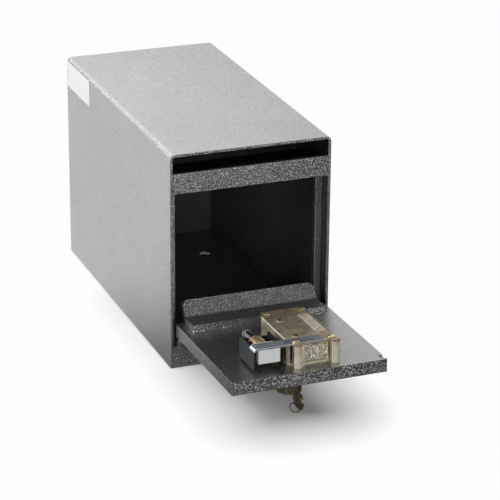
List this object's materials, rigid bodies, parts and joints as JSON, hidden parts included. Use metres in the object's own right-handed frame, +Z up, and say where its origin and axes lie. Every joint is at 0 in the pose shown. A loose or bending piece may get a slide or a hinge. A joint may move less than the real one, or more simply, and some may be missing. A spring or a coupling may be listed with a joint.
{
  "type": "drop safe",
  "caption": "Small steel drop safe with a full-width deposit slot over a thick drop-front door that carries a key lock, its bolt and a spring-loaded relock block.",
  "frame": {"origin": "centre of the footprint, on the surface that the safe stands on", "axes": "+X to the right seen from the front, +Y from the front to the back, +Z up"},
  "size_m": [0.1526, 0.4467, 0.2032],
  "materials": {
    "hammertone_paint": "textured grey powder coat with a fine hammered grain",
    "dark_paint": "matte near-black coat",
    "nickel_casting": "satin champagne nickel over a zinc casting",
    "zinc_plate": "bright bluish zinc plate",
    "yellow_zinc": "yellow chromate over zinc plate",
    "bright_steel": "turned and blanked steel",
    "key_alloy": "dark bronze-nickel",
    "label_paper": "blank satin sticker"
  },
  "bodies": {
    "safe_body": {"body_shell": "hammertone_paint", "bottom_plate": "hammertone_paint", "back_plate": "hammertone_paint", "cross_bar": "hammertone_paint", "sill_bar": "hammertone_paint", "stop_strip_left": "hammertone_paint", "stop_strip_right": "hammertone_paint", "deposit_chute": "dark_paint", "deposit_baffle": "dark_paint", "hinge_leaf_body": "hammertone_paint", "hinge_pin": "bright_steel", "side_label": "label_paper"},
    "door": {"door_plate": "hammertone_paint", "door_guard": "hammertone_paint", "hinge_leaf_door": "hammertone_paint", "lock_case": "nickel_casting", "lock_lid": "nickel_casting", "lid_screws": "nickel_casting", "case_screws": "bright_steel", "lever_post": "bright_steel", "relock_bracket": "zinc_plate", "relock_spring": "yellow_zinc"},
    "lock_bolt": {"lock_bolt": "nickel_casting", "bolt_drive_fork": "bright_steel"},
    "key": {"key_barrel": "key_alloy", "crank_pin": "bright_steel", "key": "key_alloy"},
    "key_ring": {"key_ring": "key_alloy"},
    "levers": {"lever_lower": "bright_steel", "lever_middle": "bright_steel", "lever_upper": "bright_steel", "lever_springs": "bright_steel"},
    "relocker": {"relock_block": "zinc_plate", "relock_rod": "bright_steel", "relock_head": "zinc_plate"}
  },
  "joints": [
    {"name": "door_swing", "type": "hinge", "parent": "safe_body", "child": "door", "pos_m": [0, -0.15716, 0.02656], "axis": [1, 0, 0], "range_deg": [-88.32, 0]},
    {"name": "key_turn", "type": "hinge", "parent": "door", "child": "key", "pos_m": [-0.002, -0.26535, 0.0465], "axis": [0, -0.0293, -0.9996], "range_deg": [0, 120]},
    {"name": "bolt_slide", "type": "slide", "parent": "door", "child": "lock_bolt", "axis": [0, -0.9996, 0.0293], "range_m": [0, 0.019]},
    {"name": "lever_swing", "type": "hinge", "parent": "door", "child": "levers", "pos_m": [-0.002, -0.22877, 0.04543], "axis": [0, -0.0293, -0.9996], "range_deg": [0, 3.1]},
    {"name": "relock_slide", "type": "slide", "parent": "door", "child": "relocker", "axis": [0, -0.9996, 0.0293], "range_m": [0, 0.017]},
    {"name": "ring_swing", "type": "hinge", "parent": "key", "child": "key_ring", "pos_m": [-0.002, -0.26904, 0.00619], "axis": [1, 0, 0], "range_deg": [0, 148]}
  ],
  "couplings": [
    {"joint": "key_turn", "follows": "bolt_slide", "rad_per_m": 110.23},
    {"joint": "lever_swing", "follows": "bolt_slide", "rad_per_m": 2.7558}
  ]
}
